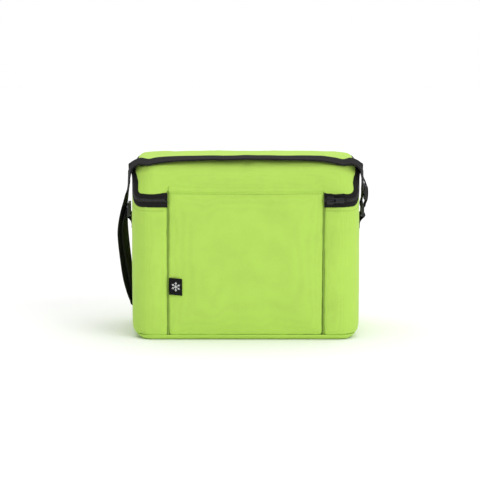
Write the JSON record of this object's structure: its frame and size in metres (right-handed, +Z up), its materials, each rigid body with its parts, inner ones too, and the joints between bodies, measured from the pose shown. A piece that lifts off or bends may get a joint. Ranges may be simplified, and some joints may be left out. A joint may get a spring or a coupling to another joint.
{
  "type": "insulated cooler bag",
  "caption": "Small box-shaped insulated cooler bag in lime green with a black-zipped lid that opens forwards, a front panel and a black webbing shoulder strap on side rings.",
  "frame": {"origin": "middle of the base, on the surface that the bag stands on", "axes": "+Z up, -Y towards the front panel, +X to the right as seen from the front"},
  "size_m": [0.3002, 0.1763, 0.218],
  "materials": {
    "lime_polyester": "matte weave",
    "insulation_foam": "matte",
    "silver_lining": "satin",
    "black_binding": "matte weave",
    "zip_tape": "matte weave",
    "zip_coil": "satin",
    "black_metal": "satin",
    "black_plastic": "satin",
    "black_webbing": "ribbed weave",
    "woven_label": "satin weave"
  },
  "bodies": {
    "bag": {"front_panel": "lime_polyester", "side_gusset_left": "lime_polyester", "side_gusset_right": "lime_polyester", "back_panel": "lime_polyester", "base_panel": "lime_polyester", "foam_front": "insulation_foam", "foam_back": "insulation_foam", "foam_left": "insulation_foam", "foam_right": "insulation_foam", "foam_base": "insulation_foam", "liner": "silver_lining", "rim_binding": "black_binding", "zip_tape_lower": "zip_tape", "zip_teeth_lower": "zip_coil", "zip_stop_left": "black_metal", "zip_stop_right": "black_metal", "side_label": "woven_label", "ring_tab_left": "black_webbing", "ring_tab_right": "black_webbing", "strap_slack": "black_webbing", "strap_end": "black_webbing"},
    "lid": {"lid_cover": "lime_polyester", "lid_top_foam": "insulation_foam", "lid_flap_foam": "insulation_foam", "lid_liner": "silver_lining", "lid_binding": "black_binding", "zip_tape_upper": "zip_tape", "zip_teeth_upper": "zip_coil"},
    "strap": {"shoulder_strap": "black_webbing"},
    "strap_adjuster": {"strap_adjuster": "black_plastic"},
    "strap_ring_left": {"strap_ring_left": "black_plastic"},
    "strap_ring_right": {"strap_ring_right": "black_plastic"},
    "zip_slider": {"zip_slider": "black_metal"},
    "zip_pull": {"zip_pull": "black_metal"}
  },
  "joints": [
    {"name": "lid_hinge", "type": "hinge", "parent": "bag", "child": "lid", "pos_m": [0, -0.0855, 0.178], "axis": [1, 0, 0], "range_deg": [0, 110]},
    {"name": "strap_swing", "type": "hinge", "parent": "bag", "child": "strap", "pos_m": [0, 0, 0.143], "axis": [1, 0, 0], "range_deg": [0, 45], "deforming": ["shoulder_strap"]},
    {"name": "adjuster_slide", "type": "slide", "parent": "bag", "child": "strap_adjuster", "axis": [0, 0, 1], "range_m": [0, 0.006]},
    {"name": "zip_slide", "type": "slide", "parent": "bag", "child": "zip_slider", "axis": [1, 0, 0], "range_m": [0, 0.008]},
    {"name": "pull_hinge", "type": "hinge", "parent": "zip_slider", "child": "zip_pull", "pos_m": [0.0974, -0.0887, 0.1665], "axis": [0, 0, -1], "range_deg": [0, 150]},
    {"name": "ring_swing_left", "type": "hinge", "parent": "bag", "child": "strap_ring_left", "pos_m": [-0.142, 0, 0.141], "axis": [0, 1, 0], "range_deg": [0, 12], "deforming": ["strap_slack"]},
    {"name": "ring_swing_right", "type": "hinge", "parent": "bag", "child": "strap_ring_right", "pos_m": [0.142, 0, 0.141], "axis": [0, -1, 0], "range_deg": [0, 12], "deforming": ["strap_end"]}
  ],
  "couplings": [
    {"joint": "strap_swing", "follows": "lid_hinge", "ratio": 0.40909}
  ]
}
